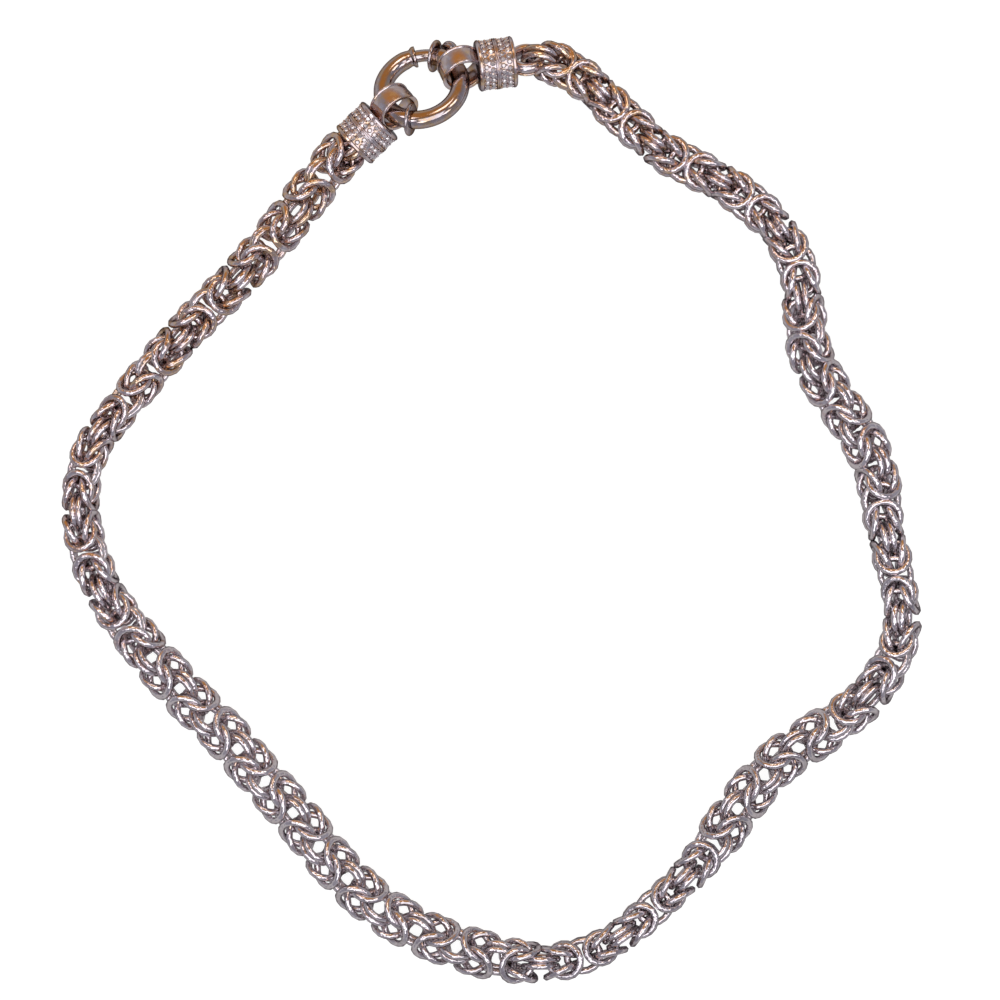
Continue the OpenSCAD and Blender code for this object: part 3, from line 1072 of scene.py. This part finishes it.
def studio_world():
    """A dim dome with a warm side, pale at the horizon"""
    world = bpy.data.worlds.new("studio_dome")
    world.use_nodes = True
    nodes, links = world.node_tree.nodes, world.node_tree.links
    way = nodes.new("ShaderNodeTexCoord").outputs["Generated"]
    height = nodes.new("ShaderNodeSeparateXYZ")
    links.new(way, height.inputs[0])
    sky = ramp(nodes, [(0.0, (0.42, 0.43, 0.46)), (0.12, (0.36, 0.36, 0.40)),
                       (0.35, (0.32, 0.32, 0.37)), (0.7, (0.26, 0.24, 0.28)),
                       (1.0, (0.24, 0.20, 0.21))])
    links.new(height.outputs["Z"], sky.inputs["Fac"])
    facing = nodes.new("ShaderNodeVectorMath")
    facing.operation = "DOT_PRODUCT"
    facing.inputs[1].default_value = Vector(AMBER_SIDE).normalized()
    links.new(way, facing.inputs[0])
    both = nodes.new("ShaderNodeMix")
    both.data_type = "RGBA"
    links.new(ranged(nodes, links, facing.outputs["Value"], 0, 1, 0.70, 0.93),
              both.inputs["Factor"])
    links.new(sky.outputs["Color"], both.inputs["A"])
    both.inputs["B"].default_value = (0.52, 0.26, 0.085, 1)
    background = nodes["Background"]
    links.new(both.outputs["Result"], background.inputs["Color"])
    background.inputs["Strength"].default_value = 0.94
    return world


class NECKLACE_OT_stage(bpy.types.Operator):
    """Adds the table, the lights and the camera"""
    bl_idname = "necklace.stage"
    bl_label = "Table, lights and camera"

    def execute(self, context):
        scene = context.scene
        settings = scene.necklace_stage
        bpy.ops.mesh.primitive_plane_add(size=4, location=(0, 0, 0))
        table = context.object
        table.name = "table"
        table.data.materials.append(table_material())
        scene.world = studio_world()
        for number, (turn, lift, side, power, tint) in enumerate(LIGHTS):
            data = bpy.data.lights.new(f"softbox_{number}", "AREA")
            data.size, data.energy, data.color = side, power, tint
            lamp = bpy.data.objects.new(data.name, data)
            turn, lift = math.radians(turn), math.radians(lift)
            back = Vector((math.cos(turn)*math.cos(lift), math.sin(turn)*math.cos(lift),
                           math.sin(lift)))
            lamp.location = back*LIGHT_DISTANCE
            lamp.rotation_euler = (-back).to_track_quat("-Z", "Y").to_euler()
            scene.collection.objects.link(lamp)
        data = bpy.data.cameras.new("camera")
        data.sensor_width = 36
        data.lens = 18/(settings.width/2/settings.distance)
        data.clip_start = 0.01
        camera = bpy.data.objects.new("camera", data)
        up = settings.elevation
        aim = Vector(settings.aim)
        camera.location = aim+Vector((0, -math.cos(up), math.sin(up)))*settings.distance
        camera.rotation_euler = Euler((math.pi/2-up, 0, 0))
        scene.collection.objects.link(camera)
        scene.camera = camera
        scene.view_settings.view_transform = "Standard"
        return {"FINISHED"}


class NECKLACE_PT_panel(bpy.types.Panel):
    """Lists the necklace's pieces"""
    bl_label = "Necklace"
    bl_idname = "NECKLACE_PT_panel"
    bl_space_type = "VIEW_3D"
    bl_region_type = "UI"
    bl_category = "Necklace"

    def draw(self, context):
        for label, group in SETTINGS.items():
            box = self.layout.box()
            for prop in group.__annotations__:
                box.prop(getattr(context.scene, label), prop)
        for operator in OPERATORS:
            self.layout.operator(operator.bl_idname)


OPERATORS = (NECKLACE_OT_stage, NECKLACE_OT_chain, NECKLACE_OT_clasp, NECKLACE_OT_bolt,
             NECKLACE_OT_barrels, NECKLACE_OT_stones)


def register():
    for group in SETTINGS.values():
        bpy.utils.register_class(group)
    for operator in OPERATORS:
        bpy.utils.register_class(operator)
    bpy.utils.register_class(NECKLACE_PT_panel)
    for label, group in SETTINGS.items():
        setattr(bpy.types.Scene, label, PointerProperty(type=group))


def unregister():
    for label in SETTINGS:
        delattr(bpy.types.Scene, label)
    bpy.utils.unregister_class(NECKLACE_PT_panel)
    for operator in OPERATORS:
        bpy.utils.unregister_class(operator)
    for group in SETTINGS.values():
        bpy.utils.unregister_class(group)


def main():
    register()
    bpy.ops.necklace.stage()
    bpy.ops.necklace.chain()
    bpy.ops.necklace.clasp()
    bpy.ops.necklace.bolt()
    bpy.ops.necklace.barrels()
    bpy.ops.necklace.stones()


if __name__ == "__main__":
    main()
